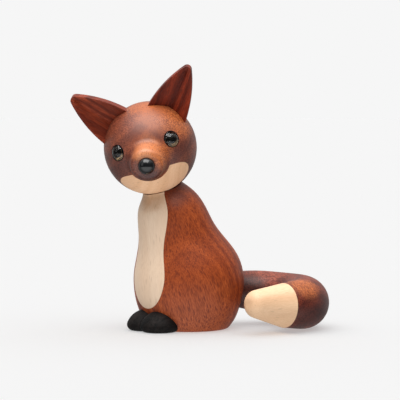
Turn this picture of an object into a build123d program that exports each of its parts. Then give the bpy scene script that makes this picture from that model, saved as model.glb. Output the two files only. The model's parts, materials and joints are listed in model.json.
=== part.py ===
from build123d import *

import os
from math import atan2, cos, degrees, pi, radians, sin, sqrt, tan

os.makedirs("parts", exist_ok=True)

# A sitting wooden fox. Millimetres and degrees. It faces -Y, its left is +X and up is +Z.
# The origin is the centre of the body's flat base, on the surface that the fox sits on.

# Body: a pear form of round sections that leans forward as it rises to the neck
belly_radius = 24.1
belly_height = 22.0
base_radius = 17.3
base_edge_radius = 2.2

# Head: a ball on a neck that leans forward, kept in the turned place it is shown in
head_radius = 20.0
head_ahead = 20.7
head_height = 79.25
neck_lean = 20.0
head_turn = 47.8

# Neck seat: a shallow cup under the ball, and the dowel that the head turns on
cup_depth = 1.6
cup_gap = 0.2
rim_land = 0.35
neck_dowel_radius = 4.0
neck_dowel_in_body = 14.0
neck_dowel_in_head = 13.0
running_clearance = 0.05
dowel_end_room = 0.6

# Rubber rings in the dowels, which give the turning joints their friction
neck_ring_section = 0.75
neck_ring_rise = 5.0
tail_ring_section = 0.6
tail_ring_depth = 5.0
ring_clearance = 0.03

# Chest strip: pale wood in front of a flat glue joint that leans back as it rises
chest_joint_ahead = 21.5
chest_joint_lean = 4.2

# Muzzle: a short blunt cone on the ball, a little below level
muzzle_length = 25.8
muzzle_front_radius = 6.6
muzzle_root_radius = 8.5
muzzle_drop_angle = 2.4
muzzle_flare = 3.5
muzzle_rounding = 2.6

# Jaw: pale wood let into the ball as a round bar laid crosswise, notched for the muzzle. The bar's
# axis is set in from the ball's front and from its underside
jaw_bar_radius = 11.4
jaw_bar_front_inset = 1.8
jaw_bar_under_inset = 3.2
muzzle_core_radius = 9.4

# Nose: a glossy dome on a peg
nose_radius = 3.65
nose_height = 3.5
nose_peg_radius = 1.4
nose_peg_length = 7.0

# Eyes: a black cup with a raised pupil, holding a clear amber dome
eye_side_angle = 38.2
eye_rise_angle = 14.3
eye_radius = 3.55
eye_rim_wall = 0.35
eye_sink = 1.8
eye_floor = 0.6
eye_rim_stand = 0.15
eye_pupil_radius = 2.1
eye_pupil_height = 0.5
eye_dome_height = 1.7
eye_peg_radius = 1.1
eye_peg_length = 5.0

# Ears: pointed leaves with a hollow front, each on a peg in the ball
ear_lean = 40.4
ear_length = 21.9
ear_half_width = 8.9
ear_side_bulge = 1.9
ear_tip_radius = 2.0
ear_front_ahead = 4.3
ear_thickness = 6.4
ear_back_rounding = 1.7
ear_root_sink = 4.0
ear_hollow_depth = 4.3
ear_hollow_rim = 0.5
ear_hollow_tip_depth = 0.9
ear_valley_half_width = 0.45
ear_peg_radius = 1.0
ear_peg_length = 5.0
ear_peg_bite = 2.0
ear_peg_inset = 1.5

# Paws: two black domes side by side under the chest, set in pockets in the body
paw_half_width = 8.7
paw_half_length = 9.2
paw_height = 9.1
paw_spread = 4.8
paw_reach = 11.2
paw_pocket_depth = 5.2
paw_parting = 0.05
paw_edge_radius = 2.5

# Tail: round, bent back on itself, thick at the bend, ending beside the body
tail_root_height = 15.5
tail_root_radius = 7.5
tail_bend_radius = 19.7
tail_thick_radius = 11.4
tail_end_run = 1.9
tail_end_rise_angle = 3.0
tail_seat_sink = 2.7
tail_seat_gap = 0.3
tail_face_gap = 0.15
tail_stub_length = 1.5
tail_dowel_radius = 3.0
tail_dowel_in_body = 13.0
tail_dowel_in_tail = 8.0

# Tail tip: a pale blunt cone that rises a little, pinned to the bend by a short dowel
tip_length = 19.3
tip_rise = 0.9
tip_end_radius = 5.1
tip_rounding = 4.5
tip_dowel_radius = 2.0
tip_dowel_half_length = 6.0

# Body sections under the belly: share of its height, share of the swell from base to belly
lower_section_shares = [(0.0, 0.0), (0.16, 0.37), (0.41, 0.71), (0.68, 0.925), (1.0, 1.0)]

# Body sections over the belly: share of the rise to the neck rim, share of the swell from rim
# to belly, share of the rim's reach forward, share of the neck's lean
upper_section_shares = [
    (0.175, 0.92, 0.056, 0.195),
    (0.35, 0.722, 0.23, 0.39),
    (0.525, 0.523, 0.458, 0.585),
    (0.70, 0.417, 0.64, 0.78),
    (0.838, 0.291, 0.793, 0.93),
    (0.951, 0.086, 0.917, 1.0),
    (1.0, 0.0, 1.0, 1.0),
]

# Tail sections at even steps from root to joint: share of the swell from root to thickest, and
# share of the drop from the root's height to the height where the thick part lies flat
tail_section_shares = [
    (0.0, 0.0),
    (0.31, 0.15),
    (0.62, 0.51),
    (0.87, 0.84),
    (1.0, 0.97),
    (0.97, 1.0),
    (0.79, 0.98),
    (0.54, 0.93),
]

# Worked out from the sizes above
cup_radius = head_radius + cup_gap
rim_distance = head_radius - cup_depth
rim_radius = sqrt(cup_radius**2 - rim_distance**2) + rim_land
rim_ahead = head_ahead - rim_distance * sin(radians(neck_lean))
rim_height = head_height - rim_distance * cos(radians(neck_lean))
tail_seat_back = belly_radius - tail_seat_sink
tail_bend_back = tail_seat_back + tail_face_gap + tail_stub_length
tail_path_length = pi * tail_bend_radius + tail_end_run
tip_joint_share = tail_section_shares[-1][0]
tip_joint_radius = tail_root_radius + tip_joint_share * (tail_thick_radius - tail_root_radius)
beyond = 2 * belly_radius

# The neck's place: at the ball's centre, with local Z up the leaning neck axis
neck_place = Pos(0, -head_ahead, head_height) * Rot(X=neck_lean)

# The head's place: on the neck, turned to the fox's left
head_place = neck_place * Rot(Z=head_turn)

# The tail's place: on its seat in the body, with local Z straight back along the dowel
tail_place = Pos(0, tail_seat_back, tail_root_height) * Rot(X=-90)

# The muzzle's place in the head: at the ball's centre, with local Z out along the muzzle
muzzle_place = Rot(X=90 + muzzle_drop_angle)

low_ended = (Align.CENTER, Align.CENTER, Align.MIN)


def peg(radius, low, high):
    """Round peg on the local Z axis between two heights."""
    return Pos(0, 0, low) * Cylinder(radius, high - low, align=low_ended)


# Body

def body_disc(ahead, up, radius, lean):
    """Disc across the body, leaning forward by an angle."""
    return Pos(0, -ahead, up) * Rot(X=lean) * Circle(radius)


def body_form():
    """Pear form from the flat base to the neck rim, before anything is cut from it."""
    discs = []
    for rise, swell in lower_section_shares:
        radius = base_radius + swell * (belly_radius - base_radius)
        discs.append(body_disc(0, rise * belly_height, radius, 0))
    for rise, swell, reach, lean in upper_section_shares:
        up = belly_height + rise * (rim_height - belly_height)
        radius = rim_radius + swell * (belly_radius - rim_radius)
        discs.append(body_disc(reach * rim_ahead, up, radius, lean * neck_lean))
    form = loft(discs)
    return fillet(form.edges().sort_by(Axis.Z)[0], base_edge_radius)


def chest_side():
    """Everything in front of the chest's glue joint."""
    joint = Pos(0, -chest_joint_ahead, belly_height) * Rot(X=90 - chest_joint_lean)
    return joint * Box(4 * beyond, 4 * beyond, beyond, align=low_ended)


def neck_cup():
    """Seat for the ball, and the hole of the glued dowel."""
    hole = peg(neck_dowel_radius, -head_radius - neck_dowel_in_body, -rim_distance)
    return neck_place * (Sphere(cup_radius) + hole)


def tail_seat():
    """Spot face for the tail's root, and the hole that its dowel turns in."""
    face = peg(tail_root_radius + tail_seat_gap, 0, beyond)
    hole = peg(tail_dowel_radius + running_clearance, -tail_dowel_in_body - dowel_end_room, 0)
    return tail_place * (face + hole)


def paw():
    """Left dome, flat on the ground, its back in a pocket in the body, its inner side at the middle."""
    dome = scale(Sphere(1), by=(paw_half_width, paw_half_length, paw_height))
    dome = dome & Box(4 * beyond, 4 * beyond, beyond, align=low_ended)
    dome = fillet(dome.edges().sort_by(Axis.Z)[0], paw_edge_radius)
    centre_ahead = base_radius + paw_reach - paw_half_length
    room = Box(beyond, beyond, beyond, align=(Align.MIN, Align.MAX, Align.MIN))
    room = Pos(paw_parting, paw_pocket_depth - base_radius, 0) * room
    return (Pos(paw_spread, -centre_ahead, 0) * dome) & room


# Dowels and rings, each on its own local Z axis

def ring(dowel_radius, section, up):
    """Round rubber ring that stands just proud of a dowel."""
    centre_radius = dowel_radius + running_clearance - ring_clearance - section
    return Pos(0, 0, up) * Torus(centre_radius, section)


def neck_ring():
    """Ring on the neck dowel, inside the ball."""
    return ring(neck_dowel_radius, neck_ring_section, neck_ring_rise - head_radius)


def tail_ring():
    """Ring on the tail dowel, inside the body."""
    return ring(tail_dowel_radius, tail_ring_section, -tail_ring_depth)


def neck_dowel():
    """Dowel glued in the body, with a groove for its ring."""
    low = -head_radius - neck_dowel_in_body
    return peg(neck_dowel_radius, low, neck_dowel_in_head - head_radius) - neck_ring()


def neck_bore():
    """Hole in the ball that turns on the dowel."""
    high = neck_dowel_in_head + dowel_end_room - head_radius
    return peg(neck_dowel_radius + running_clearance, -beyond, high)


def tail_dowel():
    """Dowel glued in the tail, with a groove for its ring."""
    high = tail_face_gap + tail_dowel_in_tail
    return peg(tail_dowel_radius, -tail_dowel_in_body, high) - tail_ring()


# Head, modelled with the ball's centre at the origin, facing -Y

def head_form():
    """Ball and muzzle, turned as one form about the muzzle's axis."""
    root_up = sqrt(head_radius**2 - muzzle_root_radius**2)
    slope = (muzzle_root_radius - muzzle_front_radius) / (muzzle_length - root_up)
    centre_radius = muzzle_front_radius + slope * muzzle_length
    front = (muzzle_front_radius, muzzle_length)
    cone = make_face(Polyline((0, 0), (centre_radius, 0), front, (0, muzzle_length), close=True))
    half = Circle(head_radius) + cone
    half = half & (Pos(beyond, 0) * Rectangle(2 * beyond, 2 * beyond))
    for corner, radius in (((muzzle_root_radius, root_up), muzzle_flare), (front, muzzle_rounding)):
        near = half.vertices().sort_by_distance((*corner, 0))[0]
        half = fillet(near, radius)
    return muzzle_place * revolve(Rot(X=90) * half, Axis.Z)


def jaw_side():
    """The crosswise bar that the jaw is cut from, less the muzzle's core."""
    ahead, drop = head_radius - jaw_bar_front_inset, head_radius - jaw_bar_under_inset
    bar = Pos(0, -ahead, -drop) * Rot(Y=90) * Cylinder(jaw_bar_radius, 2 * beyond)
    return bar - muzzle_place * peg(muzzle_core_radius, 0, beyond)


def nose():
    """Dome on the muzzle's front, with its peg."""
    ball = scale(Sphere(1), by=(nose_radius, nose_radius, nose_height))
    dome = ball & Box(beyond, beyond, beyond, align=low_ended)
    return muzzle_place * Pos(0, 0, muzzle_length) * (dome + peg(nose_peg_radius, -nose_peg_length, 0))


def eye_place(side):
    """Place at the ball's centre with local Z out through one eye."""
    return Rot(Z=side * eye_side_angle) * Rot(X=90 - eye_rise_angle)


def eye_levels():
    """Distances from the ball's centre of the cup's underside, its floor and its rim."""
    low = head_radius - eye_sink
    return low, low + eye_floor, sqrt(head_radius**2 - eye_radius**2) + eye_rim_stand


def eye_cup():
    """Black cup with a raised pupil and a peg."""
    low, floor, rim = eye_levels()
    cup = peg(eye_radius, low, rim) - peg(eye_radius - eye_rim_wall, floor, rim)
    pupil = peg(eye_pupil_radius, floor, floor + eye_pupil_height)
    return cup + pupil + peg(eye_peg_radius, low - eye_peg_length, low)


def eye_glass():
    """Clear dome that fills the cup, over the pupil."""
    low, floor, rim = eye_levels()
    radius = eye_radius - eye_rim_wall
    dome_radius = (radius**2 + eye_dome_height**2) / (2 * eye_dome_height)
    ball = Pos(0, 0, rim + eye_dome_height - dome_radius) * Sphere(dome_radius)
    dome = ball & peg(radius, rim, rim + eye_dome_height)
    return dome + peg(radius, floor, rim) - peg(eye_pupil_radius, floor, floor + eye_pupil_height)


def eye_hole():
    """Seat and peg hole of one eye."""
    low = eye_levels()[0]
    return peg(eye_radius, low, beyond) + peg(eye_peg_radius, low - eye_peg_length, low)


# Ears, modelled at the ball's centre: local Y runs up the ear, local Z faces ahead

def ear_place(side):
    """Place of one ear in the head."""
    return Rot(Y=side * ear_lean) * Rot(X=90)


def leaf(half_width, low, high, bulge):
    """Pointed leaf: two bowed sides from a straight root up to a point."""
    side_x = half_width / 2 + bulge
    middle = (low + high) / 2
    right = ThreePointArc((half_width, low), (side_x, middle), (0, high))
    left = ThreePointArc((0, high), (-side_x, middle), (-half_width, low))
    return make_face([right, left, Line((-half_width, low), (half_width, low))])


def ear_leaf():
    """Leaf with a rounded back and a valley down its front, its root still inside the ball."""
    low = head_radius - ear_root_sink
    apex = head_radius + ear_length
    outline = leaf(ear_half_width, low, apex, ear_side_bulge)
    outline = fillet(outline.vertices().sort_by(Axis.Y)[-1], ear_tip_radius)
    block = Pos(0, 0, ear_front_ahead - ear_thickness) * extrude(outline, ear_thickness)
    back = block.faces().sort_by(Axis.Z)[0]
    block = fillet(back.edges().sort_by(Axis.Y)[1:], ear_back_rounding)
    return block - ear_hollow(low, apex)


def ear_hollow(low, apex):
    """Valley between two slopes, deepest at the ear's root."""
    mouth_tip = apex - ear_tip_radius - ear_hollow_rim
    mouth = leaf(ear_half_width - ear_hollow_rim, low, mouth_tip, ear_side_bulge)
    run = mouth_tip - ear_tip_radius - low
    rise_angle = degrees(atan2(ear_hollow_depth - ear_hollow_tip_depth, run))
    slot = Rot(X=rise_angle) * leaf(ear_valley_half_width, 0, run, ear_valley_half_width / 4)
    slot = Pos(0, low, ear_front_ahead - ear_hollow_depth) * slot
    return loft([Pos(0, 0, ear_front_ahead) * mouth, slot], ruled=True)


def ear_peg():
    """Peg behind the valley, from inside the ear to inside the ball."""
    back = ear_front_ahead - ear_thickness
    start = head_radius - ear_peg_length
    pin = peg(ear_peg_radius, 0, ear_peg_length + ear_peg_bite)
    return Pos(0, start, back + ear_peg_inset) * Rot(X=-90) * pin


# Tail, modelled in the fox's own frame

def tail_station(station):
    """Plane square to the tail's path at one of its even steps, and the radius there."""
    last = len(tail_section_shares) - 1
    step = tail_path_length / last
    run = station * step
    turn = min(run / tail_bend_radius, pi)
    left = tail_bend_radius * (1 - cos(turn))
    back = tail_bend_back + tail_bend_radius * sin(turn) - max(run - pi * tail_bend_radius, 0)
    drop = tail_root_height - tail_thick_radius
    swell, fall = tail_section_shares[station]
    radius = tail_root_radius + swell * (tail_thick_radius - tail_root_radius)
    slope = 0
    if 0 < station < last:
        before = tail_section_shares[station - 1][1]
        after = tail_section_shares[station + 1][1]
        slope = drop * (before - after) / (2 * step)
    if station == last:
        slope = tan(radians(tail_end_rise_angle))
    along = Vector(sin(turn), cos(turn), slope)
    centre = Vector(left, back, tail_root_height - fall * drop)
    return Plane(origin=centre, x_dir=(0, 0, 1), z_dir=along), radius


def tail_form():
    """Bend lofted through its discs, with a straight stub into the body's seat."""
    stations = [tail_station(station) for station in range(len(tail_section_shares))]
    bend = loft([plane * Circle(radius) for plane, radius in stations])
    return bend + tail_place * peg(tail_root_radius, tail_face_gap, tail_face_gap + tail_stub_length)


def tip_place():
    """Place on the joint at the bend's end, with local Z out along the tip."""
    return Location(tail_station(len(tail_section_shares) - 1)[0])


def tip_pin():
    """Short dowel across the joint between bend and tip."""
    return peg(tip_dowel_radius, -tip_dowel_half_length, tip_dowel_half_length)


def tail_tip():
    """Blunt cone with a rounded end."""
    cone = loft([Circle(tip_joint_radius), Pos(tip_rise, 0, tip_length) * Circle(tip_end_radius)])
    end = cone.edges().sort_by(Axis.Z)[-1]
    return fillet(end, tip_rounding) - tip_pin()


# Assembly

def make_parts():
    """Every piece under its own name."""
    parts = {}
    paws = {"paw_left": paw(), "paw_right": mirror(paw(), about=Plane.YZ)}
    pear = body_form() - neck_cup()
    chest = chest_side()
    parts["chest_strip"] = pear & chest
    body = pear - chest - tail_seat()
    for name, shape in paws.items():
        parts[name] = shape
        body = body - shape
    parts["body"] = body
    parts["neck_dowel"] = neck_place * neck_dowel()
    parts["neck_ring"] = neck_place * neck_ring()

    head = head_form()
    jaw_cut = jaw_side()
    parts["jaw"] = head_place * (head & jaw_cut)
    head = head - jaw_cut - neck_bore() - nose()
    parts["nose"] = head_place * nose()
    for name, side in (("left", 1), ("right", -1)):
        place = eye_place(side)
        head = head - place * eye_hole()
        parts["eye_cup_" + name] = head_place * place * eye_cup()
        parts["eye_glass_" + name] = head_place * place * eye_glass()
    for name, side in (("left", 1), ("right", -1)):
        place = ear_place(side)
        leaf_piece = place * ear_leaf() - Sphere(head_radius)
        pin = place * ear_peg()
        head = head - pin
        parts["ear_" + name] = head_place * (leaf_piece + pin)
    parts["head"] = head_place * head

    pin = tip_place() * tip_pin()
    parts["tail"] = tail_form() - tail_place * tail_dowel() - pin
    parts["tail_tip"] = tip_place() * tail_tip()
    parts["tip_pin"] = pin
    parts["tail_dowel"] = tail_place * tail_dowel()
    parts["tail_ring"] = tail_place * tail_ring()
    return parts


for name, shape in make_parts().items():
    export_step(shape, "parts/" + name + ".step")
    print(name, len(shape.solids()), "solid,", round(shape.volume), "cubic mm")
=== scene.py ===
# %% [markdown]
# A small turned wooden fox: a pear-shaped body, a ball head that turns, leaf ears, black paws and
# a thick bent tail. The frame holds every piece at its real size and place, so only the glass of
# the eyes is modelled here. This lesson is about looks: camera, light, wood, lacquer and glass.
# All lengths are metres unless a name says otherwise, and all colours are linear.

import json
from math import asin, cos, pi, radians, sin

import bmesh
import bpy
from mathutils import Matrix, Vector


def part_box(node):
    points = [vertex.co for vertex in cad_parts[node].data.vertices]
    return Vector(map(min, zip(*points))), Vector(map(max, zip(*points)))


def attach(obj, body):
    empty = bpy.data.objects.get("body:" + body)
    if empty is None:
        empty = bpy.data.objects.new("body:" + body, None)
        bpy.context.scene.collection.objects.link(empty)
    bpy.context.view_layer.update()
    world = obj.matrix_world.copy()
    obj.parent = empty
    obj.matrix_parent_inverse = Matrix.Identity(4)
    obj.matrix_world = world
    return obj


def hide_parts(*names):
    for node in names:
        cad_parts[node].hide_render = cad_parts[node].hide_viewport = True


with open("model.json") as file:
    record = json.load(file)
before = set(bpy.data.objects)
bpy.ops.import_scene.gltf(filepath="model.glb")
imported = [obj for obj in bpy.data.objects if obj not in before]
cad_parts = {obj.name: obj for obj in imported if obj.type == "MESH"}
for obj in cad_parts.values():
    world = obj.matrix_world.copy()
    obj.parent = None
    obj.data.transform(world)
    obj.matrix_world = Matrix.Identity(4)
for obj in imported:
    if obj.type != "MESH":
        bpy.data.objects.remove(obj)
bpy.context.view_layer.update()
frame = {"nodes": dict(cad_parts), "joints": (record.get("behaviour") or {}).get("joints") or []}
nodes = frame["nodes"]

# %% [markdown]
# A product shot of a small figure is taken with a long lens from about a metre, so that the head
# isn't swollen by perspective. A camera can be placed by eye, but then each later change of the
# picture has to be judged twice. Here it is placed from what was measured: the turn round the
# fox, the rise over the table, the distance, and how many metres one pixel covers at the fox. The
# lens then follows from similar triangles.

# %% Place the camera
image_side = 400
metres_per_pixel = 0.0004365
body_axis_column = 188.7
sight_turn = radians(52.5)
sight_rise = radians(3.1)
sight_distance = 0.9135
sight_height = 0.056
sensor_millimetres = 36.0

up = Vector((0, 0, 1))
level_away = Vector((sin(sight_turn), -cos(sight_turn), 0))
image_right = Vector((cos(sight_turn), sin(sight_turn), 0))
away = level_away * cos(sight_rise) + up * sin(sight_rise)
off_axis = (image_side / 2 - body_axis_column) * metres_per_pixel
target = image_right * off_axis + up * sight_height

camera_data = bpy.data.cameras.new("camera")
camera_data.sensor_width = sensor_millimetres
camera_data.lens = sensor_millimetres * sight_distance / (image_side * metres_per_pixel)
camera = bpy.data.objects.new("camera", camera_data)
camera.location = target + away * sight_distance
camera.rotation_euler = away.to_track_quat("Z", "Y").to_euler()
bpy.context.scene.collection.objects.link(camera)
bpy.context.scene.camera = camera
bpy.context.scene.view_settings.view_transform = "Standard"
print("lens:", round(camera_data.lens, 1), "mm, camera at", [round(c, 3) for c in camera.location])

# %% [markdown]
# Every material below is a small tree of nodes. Laying nodes one by one takes many lines, so a
# helper class does the laying: it adds a node, and feeds each socket either with a plain value or
# with the output of another node. The trees then read almost like sums.

# %% A board to lay nodes on
class Board:
    """Lays nodes in one tree."""

    def __init__(self, tree):
        self.tree = tree

    def feed(self, socket, value):
        """Link an output to a socket, or set the socket to a plain value."""
        if isinstance(value, bpy.types.NodeSocket):
            self.tree.links.new(value, socket)
        else:
            socket.default_value = value

    def add(self, kind, feeds=None, **settings):
        """Add a node, set its options, and feed its named sockets."""
        node = self.tree.nodes.new("ShaderNode" + kind)
        for name, value in settings.items():
            setattr(node, name, value)
        for label, value in (feeds or {}).items():
            self.feed(node.inputs[label], value)
        return node

    def math(self, operation, *values):
        """One sum, on numbers or outputs."""
        node = self.add("Math", operation=operation)
        for socket, value in zip(node.inputs, values):
            self.feed(socket, value)
        return node.outputs[0]

    def vector(self, operation, *values, output="Vector"):
        """One vector sum."""
        node = self.add("VectorMath", operation=operation)
        for socket, value in zip(node.inputs, values):
            self.feed(socket, value)
        return node.outputs[output]

    def spread(self, vector, scale):
        """A vector times one number."""
        node = self.add("VectorMath", {"Vector": vector, "Scale": scale}, operation="SCALE")
        return node.outputs["Vector"]

    def noise(self, vector, scale, detail=2.0, output="Fac"):
        """Soft noise in space, from 0 to 1 about a middle of one half."""
        node = self.add("TexNoise", {"Vector": vector, "Scale": scale, "Detail": detail})
        return node.outputs[output]

    def ramp(self, value, low, high, to_low=0.0, to_high=1.0):
        """Smooth step from one value to another, as value goes from low to high."""
        ends = {"From Min": low, "From Max": high, "To Min": to_low, "To Max": to_high}
        node = self.add("MapRange", ends, interpolation_type="SMOOTHSTEP")
        self.feed(node.inputs["Value"], value)
        return node.outputs["Result"]

    def mix(self, share, first, second, blend="MIX"):
        """Mix two colours."""
        node = self.add("Mix", data_type="RGBA", blend_type=blend)
        colours = [s for s in node.inputs if s.type == "RGBA"]
        self.feed(node.inputs["Factor"], share)
        self.feed(colours[0], first)
        self.feed(colours[1], second)
        return [s for s in node.outputs if s.type == "RGBA"][0]


white = (1.0, 1.0, 1.0, 1.0)
noise_middle = 0.5
print("board ready")

# %% [markdown]
# A group is a small tree with named sockets that any material can use. What several finishes
# share, such as grain, is built once as a group, and each material places it with its own values.

# %% Groups and materials
def new_group(name, inputs, outputs):
    """Shader node group with named sockets. Returns its board, its inputs and its outputs."""
    group = bpy.data.node_groups.new(name, "ShaderNodeTree")
    for label, (kind, value) in inputs.items():
        socket = group.interface.new_socket(name=label, in_out="INPUT", socket_type="NodeSocket" + kind)
        socket.default_value = value
    for label, kind in outputs.items():
        group.interface.new_socket(name=label, in_out="OUTPUT", socket_type="NodeSocket" + kind)
    given = group.nodes.new("NodeGroupInput").outputs
    wanted = group.nodes.new("NodeGroupOutput").inputs
    return Board(group), given, wanted


def place_group(board, name, feeds):
    """Put a group in a material and feed its named sockets."""
    return board.add("Group", feeds, node_tree=bpy.data.node_groups[name]).outputs


def new_material(name):
    """Material with a board and its Principled BSDF."""
    material = bpy.data.materials.new(name)
    material.use_nodes = True
    board = Board(material.node_tree)
    return material, board, material.node_tree.nodes["Principled BSDF"]


def dress(names, material):
    """Give pieces of the frame a material."""
    for name in names:
        mesh = nodes[name].data
        mesh.materials.clear()
        mesh.materials.append(material)
    print(material.name, "on", ", ".join(names))


print("helpers ready")

# %% [markdown]
# Lacquer, glass and the black nose show the room. A product room has a bright ceiling, a dim band
# at the height of the eyes and a bright table below, and the band is what gives a gloss black
# nose its dark middle. A photographed sky could stand in for the room, but a few smooth steps
# over height, and from back to front, do it with numbers that can be tuned. The camera itself
# sees an even pale wall instead, which the Light Path node tells apart.

# %% Surroundings
backdrop_brightness = 0.9215
sky_tint = (0.985, 0.992, 1.0)
high_sky = 1.30
low_sky_front = 0.12
low_sky_back = 0.60
ground_front = 1.85
ground_back = 0.35
low_sky_turn = (-0.7, 0.1)
ground_turn = (-0.2, 0.7)
ground_fade = (-0.38, -0.12)
sky_climb = (0.35, 0.95)
horizon_blur = (-0.02, 0.02)

world = bpy.data.worlds.new("studio")
bpy.context.scene.world = world
world.use_nodes = True
board = Board(world.node_tree)
for node in list(world.node_tree.nodes):
    world.node_tree.nodes.remove(node)
direction = board.add("TexCoord").outputs["Generated"]
height = board.add("SeparateXYZ", {"Vector": direction}).outputs["Z"]
frontness = board.vector("DOT_PRODUCT", direction, tuple(level_away), output="Value")
low_sky = board.ramp(frontness, *low_sky_turn, low_sky_back, low_sky_front)
ground = board.ramp(frontness, *ground_turn, ground_back, ground_front)
ground = board.ramp(height, *ground_fade, ground, low_sky)
sky = board.ramp(height, *sky_climb, low_sky, high_sky)
brightness = board.ramp(height, *horizon_blur, ground, sky)
around = board.add("Background", {"Color": (*sky_tint, 1.0), "Strength": brightness})
wall = board.add("Background", {"Color": white, "Strength": backdrop_brightness})
seen = board.add("LightPath").outputs["Is Camera Ray"]
both = board.add("MixShader", {"Fac": seen})
board.feed(both.inputs[1], around.outputs[0])
board.feed(both.inputs[2], wall.outputs[0])
out = board.add("OutputWorld")
board.feed(out.inputs["Surface"], both.outputs[0])
print("wall brightness:", backdrop_brightness)

# %% [markdown]
# The fox stands on a plain pale table that runs into the wall without a line. A curved sheet of
# paper would do that in a studio, but its shading is hard to even out. Here the floor gives off
# part of its own brightness and takes the rest from the sky, so that it is just as bright as the
# wall and still shows a soft shadow where the fox touches it. Its colour undoes the sky's blue
# tint.

# %% Floor
sky_on_floor = 0.860
floor_paleness = 0.62
floor_radius = 6.0
floor_sides = 64
floor_drop = 0.00003

bpy.ops.mesh.primitive_circle_add(vertices=floor_sides, radius=floor_radius, fill_type="NGON")
floor = bpy.context.object
floor.name = "floor"
floor.location.z = -floor_drop
material, board, shader = new_material("floor_paper")
grey = (*(floor_paleness / share for share in sky_tint), 1.0)
own_light = backdrop_brightness - floor_paleness * sky_on_floor
board.feed(shader.inputs["Base Color"], grey)
board.feed(shader.inputs["Roughness"], 1.0)
board.feed(shader.inputs["Specular IOR Level"], 0.0)
board.feed(shader.inputs["Emission Color"], white)
board.feed(shader.inputs["Emission Strength"], own_light)
floor.data.materials.append(material)
floor.visible_diffuse = False
floor.visible_glossy = False
print("floor gives off", round(own_light, 3), "of", backdrop_brightness)

# %% [markdown]
# The light is one broad softbox over the fox and a little in front, which draws the wide pale
# highlight on the ball, the snout and the nose. A point lamp would draw small hard spots. Light
# linking holds it off the floor, which already has its brightness. A weaker panel at the left
# fills the shaded side. Each place is a rise, a step to the front and a step to the left.

# %% Softboxes
aim = up * sight_height
overhead_place = (0.85, 0.34, 0.10)
overhead_size = (1.0, 0.75)
overhead_watts = 13.0
overhead_tint = (1.0, 0.99, 0.98)
panel_place = (0.30, 0.45, 0.75)
panel_size = (0.4, 0.5)
panel_watts = 0.5
panel_tint = (1.0, 0.98, 0.96)


def softbox(name, place, size, watts, tint):
    """Rectangular area light that faces the fox and leaves the floor alone."""
    light = bpy.data.lights.new(name, "AREA")
    light.shape = "RECTANGLE"
    light.size, light.size_y = size
    light.energy = watts
    light.color = tint
    rise, front, left = place
    lamp = bpy.data.objects.new(name, light)
    lamp.location = aim + up * rise + level_away * front - image_right * left
    lamp.rotation_euler = (lamp.location - aim).to_track_quat("Z", "Y").to_euler()
    bpy.context.scene.collection.objects.link(lamp)
    lit = bpy.data.collections.new(name + "_receivers")
    lit.objects.link(floor)
    lit.collection_objects[0].light_linking.link_state = "EXCLUDE"
    lamp.light_linking.receiver_collection = lit
    print("softbox:", name, watts, "W")


softbox("overhead_softbox", overhead_place, overhead_size, overhead_watts, overhead_tint)
softbox("left_panel", panel_place, panel_size, panel_watts, panel_tint)

# %% [markdown]
# Wood is built of long fibres, so every wood effect is drawn in grain space: a frame in
# millimetres whose Z runs along the fibres. A flat picture wrapped round a ball would show seams
# and stretch; a space has neither, and cuts through the block as a lathe does. This group turns a
# point of the piece into that space and sways it a little, because no tree grows dead straight.

# %% Grain space
millimetres_per_metre = 1000.0
across_grain = (1, 1, 0)

board, given, wanted = new_group(
    "Grain space",
    {
        "Point": ("Vector", (0, 0, 0)),
        "Turn": ("Vector", (0, 0, 0)),
        "Sway": ("Float", 1.0),
        "Sway Length": ("Float", 30.0),
    },
    {"Vector": "Vector"},
)
turn = {"Vector": given["Point"], "Rotation": given["Turn"]}
rotated = board.add("VectorRotate", turn, rotation_type="EULER_XYZ").outputs[0]
in_millimetres = board.spread(rotated, millimetres_per_metre)
slow = board.spread(in_millimetres, board.math("DIVIDE", 1.0, given["Sway Length"]))
drift = board.noise(slow, 1.0, detail=1.0, output="Color")
drift = board.vector("SUBTRACT", drift, (noise_middle, noise_middle, noise_middle))
drift = board.vector("MULTIPLY", board.spread(drift, given["Sway"]), across_grain)
board.feed(wanted["Vector"], board.vector("ADD", in_millimetres, drift))
print("group:", board.tree.name)

# %% [markdown]
# Mahogany is dotted with open pores: fine tubes that show as short dark dashes along the grain and
# as dots across it. They could be drawn as strokes, but the strokes would have to know which way
# the surface cuts the tubes. A Voronoi texture gives one point for each pore. Squeezing the space
# along the grain first makes each round spot a long one, and the surface cuts it as a saw would.

# %% Pores
board, given, wanted = new_group(
    "Pores",
    {
        "Vector": ("Vector", (0, 0, 0)),
        "Spacing": ("Float", 1.2),
        "Stretch": ("Float", 7.0),
        "Share": ("Float", 0.3),
        "Softness": ("Float", 0.12),
    },
    {"Mask": "Float"},
)
along = board.math("DIVIDE", 1.0, given["Stretch"])
squeeze = board.add("CombineXYZ", {"X": 1.0, "Y": 1.0, "Z": along}).outputs[0]
cells = board.vector("MULTIPLY", given["Vector"], squeeze)
cells = board.spread(cells, board.math("DIVIDE", 1.0, given["Spacing"]))
spot = board.add("TexVoronoi", {"Vector": cells, "Scale": 1.0}).outputs["Distance"]
edge = board.math("ADD", given["Share"], given["Softness"])
board.feed(wanted["Mask"], board.ramp(spot, given["Share"], edge, 1.0, 0.0))
print("group:", board.tree.name)

# %% [markdown]
# Between the pores the wood is streaked: thin fibres lie side by side, some darker. Thousands of
# modelled hairs would give the same at a high price; noise that is stretched along the grain
# draws them at once. The same group, with little stretch, draws the fine speckle of wood that is
# cut across its fibres.

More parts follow.
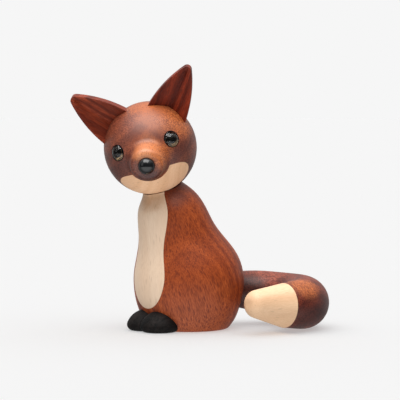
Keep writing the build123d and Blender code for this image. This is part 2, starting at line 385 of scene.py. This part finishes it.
# %% Fibres
board, given, wanted = new_group(
    "Fibres",
    {
        "Vector": ("Vector", (0, 0, 0)),
        "Width": ("Float", 0.6),
        "Stretch": ("Float", 12.0),
        "Contrast": ("Float", 0.3),
    },
    {"Value": "Float"},
)
along = board.math("DIVIDE", 1.0, given["Stretch"])
squeeze = board.add("CombineXYZ", {"X": 1.0, "Y": 1.0, "Z": along}).outputs[0]
strands = board.vector("MULTIPLY", given["Vector"], squeeze)
strands = board.spread(strands, board.math("DIVIDE", 1.0, given["Width"]))
streaks = board.noise(strands, 1.0)
low = board.math("SUBTRACT", noise_middle, given["Contrast"])
high = board.math("ADD", noise_middle, given["Contrast"])
board.feed(wanted["Value"], board.ramp(streaks, low, high))
print("group:", board.tree.name)

# %% [markdown]
# The broad figure comes from the yearly rings: shells round the pith of the tree. A Wave texture
# would space them evenly, which no summer does. Here the distance from the pith, rippled a
# little, is cut into bands by a one-dimensional noise, so that wide and narrow years follow each
# other without a pattern.

# %% Growth figure
ripple_scale = 0.06
year_edges = (0.3, 0.7)

board, given, wanted = new_group(
    "Growth figure",
    {
        "Vector": ("Vector", (0, 0, 0)),
        "Pith": ("Vector", (40, 25, 0)),
        "Ring Width": ("Float", 4.0),
        "Ripple": ("Float", 2.0),
    },
    {"Value": "Float"},
)
from_pith = board.vector("SUBTRACT", given["Vector"], given["Pith"])
from_pith = board.vector("MULTIPLY", from_pith, across_grain)
distance = board.vector("LENGTH", from_pith, output="Value")
ripple = board.math("SUBTRACT", board.noise(given["Vector"], ripple_scale), noise_middle)
ripple = board.math("MULTIPLY", ripple, given["Ripple"])
years = board.math("DIVIDE", board.math("ADD", distance, ripple), given["Ring Width"])
bands = board.add("TexNoise", {"W": years, "Scale": 1.0, "Detail": 1.0}, noise_dimensions="1D")
board.feed(wanted["Value"], board.ramp(bands.outputs["Fac"], *year_edges))
print("group:", board.tree.name)

# %% [markdown]
# A turned block often holds a lighter or darker cloud of colour. It could be painted on the
# vertices, but then its edge would be as coarse as the mesh. This group gives a soft round mask
# about a point of the piece, with an uneven rim, that a material can use to warm, darken or calm
# one place, such as the bridge of the snout. The same mask also paints light or shade onto one
# place, such as the highlight on that bridge or the shade under the head.

# %% Cloud
rim_scale = 220.0
rim_raggedness = 0.7
cloud_fade = (0.35, 1.0)

board, given, wanted = new_group(
    "Cloud",
    {"Point": ("Vector", (0, 0, 0)), "Centre": ("Vector", (0, 0, 0)), "Radius": ("Float", 0.01)},
    {"Mask": "Float"},
)
reach = board.vector("DISTANCE", given["Point"], given["Centre"], output="Value")
reach = board.math("DIVIDE", reach, given["Radius"])
ragged = board.math("SUBTRACT", board.noise(given["Point"], rim_scale), noise_middle)
reach = board.math("ADD", reach, board.math("MULTIPLY", ragged, rim_raggedness))
board.feed(wanted["Mask"], board.ramp(reach, *cloud_fade, 1.0, 0.0))
print("group:", board.tree.name)

# %% [markdown]
# One function mixes the groups into the colour of the wood: the rings first, then the clouds,
# then fibres and speckle multiplied over them, so that they darken every colour alike. Some clouds
# are the wood's own tone and some are painted light and shade. The speckle is calmed where a
# piece asks for it. What most woods share is written once, and a piece names only what sets its
# wood apart. A cloud is a colour, a centre, a radius and a strength; a calm place is a centre and
# a radius.

# %% Wood colour
usual_wood = {
    "sway": 2.0,
    "clouds": (),
    "calm_places": (),
    "calm_shade": white,
    "speckle_width": 0.28,
    "speckle_contrast": 0.14,
    "gloss": 0.3,
}


def cloud_mask(board, point, centre, radius):
    """Soft round mask about one place of a piece."""
    return place_group(board, "Cloud", {"Point": point, "Centre": centre, "Radius": radius})["Mask"]


def wood_colour(board, look, point, grain, fibres):
    """Colour of bare wood before its pores, with the painted light and shade that some clouds carry."""
    rings = {"Vector": grain, "Pith": look["pith"], "Ring Width": look["ring_width"]}
    figure = place_group(board, "Growth figure", rings)["Value"]
    colour = board.mix(figure, look["dark"], look["light"])
    # Some clouds are the wood's own tone; others paint light or shade onto one place.
    for tint, centre, radius, strength in look["clouds"]:
        cloud = cloud_mask(board, point, centre, radius)
        colour = board.mix(board.math("MULTIPLY", cloud, strength), colour, tint)
    fibre_tone = board.mix(fibres, look["fibre_shade"], white)
    colour = board.mix(1.0, colour, fibre_tone, blend="MULTIPLY")
    dots = {
        "Vector": grain,
        "Width": look["speckle_width"],
        "Stretch": look["speckle_stretch"],
        "Contrast": look["speckle_contrast"],
    }
    speckle = place_group(board, "Fibres", dots)["Value"]
    speckle_tone = board.mix(speckle, look["speckle_shade"], white)
    for centre, radius in look["calm_places"]:
        calm = cloud_mask(board, point, centre, radius)
        speckle_tone = board.mix(calm, speckle_tone, look["calm_shade"])
    return board.mix(1.0, colour, speckle_tone, blend="MULTIPLY")


print("usual wood:", usual_wood)

# %% [markdown]
# The lacquer is a thin satin coat that follows the wood. A second clear shader over the wood would
# show thickness, which this coat hardly has, so the wood's own shader gets the gloss: a little
# rougher between the fibres, with the pores shaded as if sunk by a tenth of a millimetre. The
# Principled BSDF stays in the material; the groups only feed its colour, roughness and normal.

# %% Lacquered wood
fibre_width = 0.55
streak_roughness = 0.06
fibre_depth_share = 0.25
pore_depth = 0.0001


def lacquered_wood(name, own_look):
    """Wood under a satin lacquer, from a dictionary of what sets this piece's wood apart."""
    look = {**usual_wood, **own_look}
    material, board, shader = new_material(name)
    point = board.add("TexCoord").outputs["Object"]
    space = {"Point": point, "Turn": look["turn"], "Sway": look["sway"]}
    grain = place_group(board, "Grain space", space)["Vector"]
    strands = {"Vector": grain, "Width": fibre_width, "Stretch": look["fibre_stretch"]}
    fibres = place_group(board, "Fibres", strands)["Value"]
    tubes = {
        "Vector": grain,
        "Spacing": look["pore_spacing"],
        "Stretch": look["pore_stretch"],
        "Share": look["pore_share"],
    }
    pores = place_group(board, "Pores", tubes)["Mask"]
    colour = wood_colour(board, look, point, grain, fibres)
    shown_pores = board.math("MULTIPLY", pores, look["pore_strength"])
    board.feed(shader.inputs["Base Color"], board.mix(shown_pores, colour, look["pore_tint"]))
    rough = look["rough"]
    board.feed(shader.inputs["Roughness"], board.ramp(fibres, 0.0, 1.0, rough + streak_roughness, rough))
    board.feed(shader.inputs["Specular IOR Level"], look["gloss"])
    depth = board.math("SUBTRACT", board.math("MULTIPLY", fibres, fibre_depth_share), pores)
    bump = board.add("Bump", {"Height": depth, "Strength": look["relief"], "Distance": pore_depth})
    board.feed(shader.inputs["Normal"], bump.outputs["Normal"])
    return material


print("lacquered wood ready")

# %% [markdown]
# The body is one block of warm red-brown mahogany, turned and then carved. Its fibres run up the
# leaning back, so the grain is turned forward by the lean. The pith lies well to one side, which
# lets the belly cut the rings into the wide ovals of a flat-sawn board. One cloud lightens the foot
# with painted light from the bright table, one warms the shoulder, and one darkens the wood under
# the head with painted shadow.

# %% Body wood
forward_lean = radians(17)
body_wood = {
    "turn": (-forward_lean, 0, 0),
    "dark": (0.28, 0.046, 0.009, 1),
    "light": (0.50, 0.104, 0.023, 1),
    "pith": (55, -30, 0),
    "ring_width": 5.0,
    "fibre_shade": (0.70, 0.64, 0.58, 1),
    "fibre_stretch": 14.0,
    "speckle_shade": (0.63, 0.53, 0.47, 1),
    "speckle_stretch": 7.0,
    "pore_tint": (0.15, 0.022, 0.006, 1),
    "pore_strength": 0.82,
    "pore_spacing": 0.90,
    "pore_stretch": 5.5,
    "pore_share": 0.235,
    "rough": 0.44,
    "gloss": 0.27,
    "relief": 0.25,
    "clouds": (
        # Painted light from the bright table below, lightening the foot.
        ((0.52, 0.120, 0.034, 1), (0.0202, -0.0093, 0.0060), 0.024, 0.6),
        ((0.50, 0.105, 0.024, 1), (0.0135, -0.0100, 0.0520), 0.011, 0.5),
        # Painted shadow of the head on the body under it.
        ((0.16, 0.030, 0.010, 1), (0.0105, -0.0143, 0.0600), 0.008, 0.5),
    ),
}
dress(["body"], lacquered_wood("mahogany_body", body_wood))

# %% [markdown]
# The head comes from darker, more purple stock. On the ball the fibres run from the muzzle to the
# back, so its front shows them end on, as a fine stipple, and its sides show them lying down. The
# turn of the grain could be typed in, but it is worked out from the nose and the centre of the
# ball, which is where the neck joint sits. Amber clouds warm the crown and the snout, and honey
# ones paint the highlight on the bridge of the snout and just above the nose. Plum ones paint
# shade on the cheeks and the chin. The stipple is calmed on the crown, the brow and the bridge of
# the snout, which paints in the smooth look that the lacquer's sheen gives there.

# %% Head wood
ball_centre = Vector(frame["joints"][0]["pos_m"])
nose_low, nose_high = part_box("nose")
muzzle = ((nose_low + nose_high) / 2 - ball_centre).normalized()
amber_brown = (0.64, 0.185, 0.047, 1)
# The next two colours paint the highlight on the bridge of the snout and just above the nose.
painted_highlight_honey = (0.84, 0.30, 0.105, 1)
painted_highlight_pale = (0.95, 0.42, 0.20, 1)
# Plum paints shade: on the cheeks, under the snout and under the tail.
painted_shade_plum = (0.105, 0.028, 0.023, 1)
head_wood = {
    "turn": tuple(muzzle.rotation_difference(up).to_euler()),
    "dark": (0.22, 0.056, 0.029, 1),
    "light": (0.35, 0.091, 0.038, 1),
    "pith": (14, 42, 0),
    "ring_width": 5.5,
    "fibre_shade": (0.80, 0.76, 0.74, 1),
    "fibre_stretch": 3.0,
    "speckle_shade": (0.39, 0.28, 0.23, 1),
    "speckle_stretch": 2.0,
    "speckle_width": 0.38,
    "speckle_contrast": 0.12,
    "pore_tint": (0.10, 0.020, 0.011, 1),
    "pore_strength": 0.5,
    "pore_spacing": 0.62,
    "pore_stretch": 3.0,
    "pore_share": 0.22,
    "rough": 0.42,
    "gloss": 0.5,
    "relief": 0.2,
    # Calmed stipple paints in the smooth look of the lacquer's sheen on the crown, brow and bridge.
    "calm_shade": (0.72, 0.65, 0.61, 1),
    "calm_places": (
        ((0.0140, -0.0335, 0.0860), 0.011),
        ((0.0196, -0.0372, 0.0795), 0.009),
        ((0.0080, -0.0275, 0.0955), 0.010),
    ),
    "clouds": (
        (amber_brown, (0.0126, -0.0248, 0.0943), 0.014, 0.65),
        (amber_brown, (0.0161, -0.0169, 0.0904), 0.010, 0.7),
        (amber_brown, (0.0036, -0.0288, 0.0972), 0.009, 0.6),
        (amber_brown, (0.0230, -0.0304, 0.0768), 0.010, 0.9),
        # Painted highlight on the bridge of the snout and just above the nose.
        (painted_highlight_honey, (0.0201, -0.0370, 0.0800), 0.010, 0.9),
        (painted_highlight_pale, (0.0196, -0.0385, 0.0770), 0.004, 0.8),
        # Painted shade under the snout and on the cheeks.
        (painted_shade_plum, (0.0182, -0.0352, 0.0660), 0.010, 0.85),
        (painted_shade_plum, (0.0001, -0.0389, 0.0709), 0.015, 0.4),
        (painted_shade_plum, (0.0198, -0.0170, 0.0740), 0.012, 0.4),
    ),
}
dress(["head"], lacquered_wood("mahogany_head", head_wood))

# %% [markdown]
# The ears are sawn from the same stock, with the fibres along each leaf for strength, so they
# show long streaks and no stipple. Both take the head's wood with other values. The left one is
# darker and redder.

# %% Ear wood
ear_wood = {
    **head_wood,
    "sway": 3.0,
    "ring_width": 3.2,
    "fibre_stretch": 16.0,
    "speckle_shade": (0.72, 0.60, 0.54, 1),
    "speckle_stretch": 8.0,
    "speckle_width": 0.5,
    "pore_strength": 0.8,
    "pore_stretch": 9.0,
    "gloss": 0.12,
    "calm_places": (),
    "clouds": (),
}
ear_tones = {
    "left": {"dark": (0.104, 0.0124, 0.005, 1), "light": (0.24, 0.032, 0.011, 1)},
    "right": {"dark": (0.13, 0.020, 0.009, 1), "light": (0.30, 0.052, 0.020, 1)},
}
for side, tones in ear_tones.items():
    ear = "ear_" + side
    ear_low, ear_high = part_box(ear)
    ear_axis = ((ear_low + ear_high) / 2 - ball_centre).normalized()
    ear_turn = tuple(ear_axis.rotation_difference(up).to_euler())
    dress([ear], lacquered_wood("mahogany_" + ear, {**ear_wood, **tones, "turn": ear_turn}))

# %% [markdown]
# The tail is bent, so one turn of the grain can't follow it all the way round. Bent wood would
# show fibres that follow the curve, but a turned and carved tail is sawn from a straight block:
# its fibres run across the fox, and the bend cuts them at a changing angle. An amber patch lies
# on the top of the bend, and dark clouds paint shade on its shaded underside and at its root,
# where it meets the body.

# %% Tail wood
tail_wood = {
    **head_wood,
    "turn": (radians(20), radians(80), 0),
    "dark": (0.14, 0.026, 0.015, 1),
    "light": (0.28, 0.056, 0.026, 1),
    "pith": (20, 30, 0),
    "ring_width": 2.6,
    "fibre_stretch": 10.0,
    "speckle_stretch": 6.0,
    "pore_stretch": 5.0,
    "gloss": 0.3,
    "calm_places": (),
    "clouds": (
        (amber_brown, (0.0439, 0.0293, 0.0204), 0.010, 0.85),
        ((0.44, 0.115, 0.065, 1), (0.0110, 0.0350, 0.0230), 0.011, 0.7),
        # The next three darken the tail with painted shade: its underside and its root.
        (painted_shade_plum, (0.0480, 0.0290, 0.0060), 0.012, 0.8),
        ((0.07, 0.016, 0.014, 1), (0.0480, 0.0400, 0.0100), 0.010, 0.7),
        ((0.06, 0.012, 0.007, 1), (0.0085, 0.0264, 0.0140), 0.013, 0.9),
    ),
}
dress(["tail"], lacquered_wood("mahogany_tail", tail_wood))

# %% [markdown]
# The chest, jaw and tail tip are pale maple: nearly even, with hair-fine fibres and a few small
# flecks. A plain pale colour would look like plastic, so it takes the same groups as the
# mahogany, with soft values. Each of the three is a little warmer or paler than the next. A
# darker, warmer cloud on the chest under the head paints the head's shadow and the red light that
# the mahogany throws onto it.

# %% Maple
maple = {
    "turn": (-radians(4), 0, 0),
    "dark": (0.77, 0.575, 0.42, 1),
    "light": (0.80, 0.615, 0.46, 1),
    "pith": (60, 40, 0),
    "ring_width": 6.0,
    "fibre_shade": (0.94, 0.92, 0.90, 1),
    "fibre_stretch": 24.0,
    "speckle_shade": (0.95, 0.93, 0.90, 1),
    "speckle_stretch": 18.0,
    "pore_tint": (0.42, 0.26, 0.16, 1),
    "pore_strength": 0.28,
    "pore_spacing": 1.5,
    "pore_stretch": 5.0,
    "pore_share": 0.13,
    "rough": 0.46,
    "relief": 0.1,
}
chest_wood = {
    **maple,
    # Painted shadow of the head, warmed with the red light bounced from the mahogany.
    "clouds": (((0.62, 0.38, 0.21, 1), (0.0014, -0.0225, 0.0600), 0.010, 0.8),),
}
jaw_wood = {
    **maple,
    "turn": (0, radians(90), radians(40)),
    "dark": (0.80, 0.48, 0.28, 1),
    "light": (0.88, 0.56, 0.35, 1),
    "ring_width": 3.0,
}
tip_wood = {
    **maple,
    "turn": (radians(90), 0, 0),
    "dark": (0.74, 0.46, 0.275, 1),
    "light": (0.85, 0.57, 0.36, 1),
    "ring_width": 8.0,
}
dress(["chest_strip"], lacquered_wood("maple_chest", chest_wood))
dress(["jaw"], lacquered_wood("maple_jaw", jaw_wood))
dress(["tail_tip"], lacquered_wood("maple_tip", tip_wood))

# %% [markdown]
# The paws are wood under a black stain. Paint would cover everything; a stain hides the colour but
# not the surface, so the grain still shows as faint grey and brown lines. That is why the paws
# take the wood with nearly black colours and deeper pores, and hardly any gloss.

# %% Black stained paws
paw_wood = {
    **maple,
    "turn": (radians(80), radians(12), 0),
    "sway": 4.0,
    "dark": (0.005, 0.004, 0.004, 1),
    "light": (0.016, 0.012, 0.011, 1),
    "ring_width": 3.5,
    "fibre_shade": (0.40, 0.36, 0.34, 1),
    "fibre_stretch": 18.0,
    "pore_tint": (0.003, 0.003, 0.003, 1),
    "pore_strength": 0.9,
    "pore_spacing": 1.1,
    "pore_stretch": 10.0,
    "pore_share": 0.28,
    "rough": 0.6,
    "gloss": 0.12,
    "relief": 0.7,
}
dress(["paw_left", "paw_right"], lacquered_wood("black_stained_paw", paw_wood))

# %% [markdown]
# Dowels are bare beech and the friction rings are black rubber. They hardly show, and could be
# left plain, but a turned head or a lifted tail may let light in on them, so they are finished
# too: the beech is the maple with more pores and no shine, and the rubber is dusted.

# %% Dowels and rings
beech = {
    **maple,
    "turn": (radians(-20), 0, 0),
    "dark": (0.50, 0.33, 0.20, 1),
    "light": (0.60, 0.42, 0.27, 1),
    "pore_share": 0.2,
    "rough": 0.62,
}
dress(["neck_dowel", "tail_dowel", "tip_pin"], lacquered_wood("beech_dowel", beech))

dust_scale = 900.0
dust_edges = (0.3, 0.7)
rubber_roughness = (0.6, 0.8)
clean_rubber = (0.012, 0.012, 0.013, 1)
dusty_rubber = (0.03, 0.03, 0.03, 1)
rubber, board, shader = new_material("black_rubber")
dust = board.noise(board.add("TexCoord").outputs["Object"], dust_scale, detail=3.0)
board.feed(shader.inputs["Base Color"], board.mix(dust, clean_rubber, dusty_rubber))
board.feed(shader.inputs["Roughness"], board.ramp(dust, *dust_edges, *rubber_roughness))
dress(["neck_ring", "tail_ring"], rubber)

# %% [markdown]
# The nose is a polished black dome. Black gloss shows nothing but the room, so its look is made
# by the softbox above, the dim band and the table below. Painting the highlights on would fix
# them in place when the head turns. Faint smears in the roughness keep it from looking drawn.

# %% Gloss black nose
smear_scale = 420.0
smear_edges = (0.35, 0.75)
polish_roughness = (0.04, 0.09)
clean_black = (0.004, 0.004, 0.005, 1)
smeared_black = (0.010, 0.011, 0.013, 1)


def gloss_black(name):
    """Polished black with faint smears. Returns the material, its board, its shader and its colour."""
    material, board, shader = new_material(name)
    smear = board.noise(board.add("TexCoord").outputs["Object"], smear_scale, detail=3.0)
    black = board.mix(smear, clean_black, smeared_black)
    board.feed(shader.inputs["Base Color"], black)
    board.feed(shader.inputs["Roughness"], board.ramp(smear, *smear_edges, *polish_roughness))
    return material, board, shader, black


dress(["nose"], gloss_black("gloss_black_nose")[0])

# %% [markdown]
# Each eye is a black cup with a raised pupil, under a clear dome of amber glass. The paint in the
# cup runs in rings round the eye's axis, so it needs one more measure: how far a point lies from
# that axis. The cross product with the axis gives it in one step, wherever the eye looks.

# %% Distance from an axis
board, given, wanted = new_group(
    "Distance from axis",
    {"Point": ("Vector", (0, 0, 0)), "Start": ("Vector", (0, 0, 0)), "Direction": ("Vector", (0, 0, 1))},
    {"Distance": "Float"},
)
arm = board.vector("SUBTRACT", given["Point"], given["Start"])
across = board.vector("CROSS_PRODUCT", arm, given["Direction"])
board.feed(wanted["Distance"], board.vector("LENGTH", across, output="Value"))
print("group:", board.tree.name)

# %% [markdown]
# The ring between pupil and wall is painted olive brown, nearly black at the top and pale at the
# lower right, where light that falls through the glass gathers into a bright crescent. Such
# gathered light can be left to the renderer, but it takes thousands of samples to settle, so the
# paint carries it. The ring is cut out by the distance from the eye's axis.

# %% Eyes
pupil_radius = 0.00145
iris_radius = 0.0031
paint_edge = 0.0001
crescent_lean = 0.65
crescent_shares = (0.30, 0.70)
ray_scale = 1500.0
shaded_olive = (0.035, 0.024, 0.014, 1)
lit_olive = (0.72, 0.60, 0.44, 1)
lit_cream = (0.92, 0.84, 0.72, 1)
crescent_side = (image_right * crescent_lean - up).normalized()


def eye_line(side):
    """Middle of an eye's glass, and the direction that the eye looks in."""
    low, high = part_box("eye_glass_" + side)
    middle = (low + high) / 2
    return middle, (middle - ball_centre).normalized()


def eye_paint(side):
    """Black cup with an olive ring between its pupil and its wall."""
    material, board, shader, black = gloss_black("painted_eye_cup_" + side)
    middle, axis = eye_line(side)
    point = board.add("TexCoord").outputs["Object"]
    line = {"Point": point, "Start": ball_centre, "Direction": axis}
    off_line = place_group(board, "Distance from axis", line)["Distance"]
    inner = board.ramp(off_line, pupil_radius + paint_edge, pupil_radius + 3 * paint_edge)
    outer = board.ramp(off_line, iris_radius - 2 * paint_edge, iris_radius - paint_edge, 1.0, 0.0)
    ring = board.math("MULTIPLY", inner, outer)
    from_middle = board.vector("SUBTRACT", point, tuple(middle))
    toward_foot = board.vector("DOT_PRODUCT", from_middle, tuple(crescent_side), output="Value")
    lit = board.ramp(toward_foot, *(iris_radius * share for share in crescent_shares))
    bright_olive = board.mix(board.noise(point, ray_scale), lit_olive, lit_cream)
    olive = board.mix(lit, shaded_olive, bright_olive)
    board.feed(shader.inputs["Base Color"], board.mix(ring, black, olive))
    board.feed(shader.inputs["Specular IOR Level"], 0.0)
    return material


for side in ("left", "right"):
    dress(["eye_cup_" + side], eye_paint(side))

# %% [markdown]
# Glass needs clean surfaces: where a dome and its cup share a face, light can't tell which it meets
# first and sparkles. So each dome is turned anew from a profile, as a lens with its foot sunk a
# hair into the paint, and it stands in for the dome of the frame. A Screw modifier would turn
# it too, but rings of vertices round the eye's axis, with one vertex at the top and one at the foot,
# give a closed mesh with no doubled points.

# %% Turn a profile
turn_steps = 72
on_axis = 0.00005
crease_angle = radians(40)


def turn_profile(name, profile, origin, axis):
    """Turn a profile of radii and heights round an axis into a closed mesh."""
    build = bmesh.new()
    rings = []
    for radius, height in profile:
        if radius < on_axis:
            rings.append([build.verts.new((0, 0, height))])
            continue
        angles = [2 * pi * i / turn_steps for i in range(turn_steps)]
        rings.append([build.verts.new((radius * cos(a), radius * sin(a), height)) for a in angles])
    for upper, lower in zip(rings, rings[1:]):
        for i in range(turn_steps):
            j = (i + 1) % turn_steps
            if len(upper) == 1:
                build.faces.new((upper[0], lower[i], lower[j]))
            elif len(lower) == 1:
                build.faces.new((upper[i], lower[0], upper[j]))
            else:
                build.faces.new((upper[i], lower[i], lower[j], upper[j]))
    for face in build.faces:
        face.smooth = True
    build.transform(Matrix.Translation(origin) @ axis.to_track_quat("Z", "Y").to_matrix().to_4x4())
    mesh = bpy.data.meshes.new(name)
    build.to_mesh(mesh)
    build.free()
    mesh.set_sharp_from_angle(angle=crease_angle)
    piece = bpy.data.objects.new(name, mesh)
    bpy.context.scene.collection.objects.link(piece)
    print(name, "has", len(mesh.vertices), "vertices")
    return piece


print("one full turn in", turn_steps, "steps")

# %% [markdown]
# The dome is a shallow cap of a sphere on a short straight foot. Its bow follows from how wide it
# is and how far it rises. Heights are measured from the centre of the ball, because both eyes
# look straight out from it.

# %% Dome profile
dome_radius = 0.0032
dome_rise = 0.0017
rim_height = 0.01983
foot_height = 0.0187
foot_overlap = 0.00005
profile_steps = 20

bow = (dome_radius**2 + dome_rise**2) / (2 * dome_rise)
bow_centre = rim_height + dome_rise - bow
sweep = asin(dome_radius / bow)
steps = [sweep * i / profile_steps for i in range(profile_steps + 1)]
dome_profile = [(bow * sin(step), bow_centre + bow * cos(step)) for step in steps]
foot_radius = dome_radius + foot_overlap
dome_profile += [(foot_radius, rim_height - foot_overlap), (foot_radius, foot_height), (0.0, foot_height)]
print("dome bow:", round(bow, 5), "points:", len(dome_profile))

# %% [markdown]
# The glass is amber, so that it warms the olive paint behind it. A thin tinted film would be
# quicker to render, but only a thick lens bends the ring as a real dome does. A faint haze in
# its colour and roughness keeps it from looking like a hole.

# %% Glass domes
haze_scale = 150.0
haze_edges = (0.3, 0.8)
glass_roughness = (0.05, 0.07)
deep_amber = (0.50, 0.36, 0.22, 1)
pale_amber = (0.58, 0.43, 0.28, 1)
glass_bend = 1.42

glass, board, shader = new_material("amber_glass")
haze = board.noise(board.add("TexCoord").outputs["Object"], haze_scale, detail=1.0)
board.feed(shader.inputs["Base Color"], board.mix(haze, deep_amber, pale_amber))
board.feed(shader.inputs["Roughness"], board.ramp(haze, *haze_edges, *glass_roughness))
board.feed(shader.inputs["Transmission Weight"], 1.0)
board.feed(shader.inputs["IOR"], glass_bend)
for side in ("left", "right"):
    lens = turn_profile("eye_lens_" + side, dome_profile, ball_centre, eye_line(side)[1])
    lens.data.materials.append(glass)
    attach(lens, "head")
    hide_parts("eye_glass_" + side)
    print(lens.name, "in place of eye_glass_" + side)
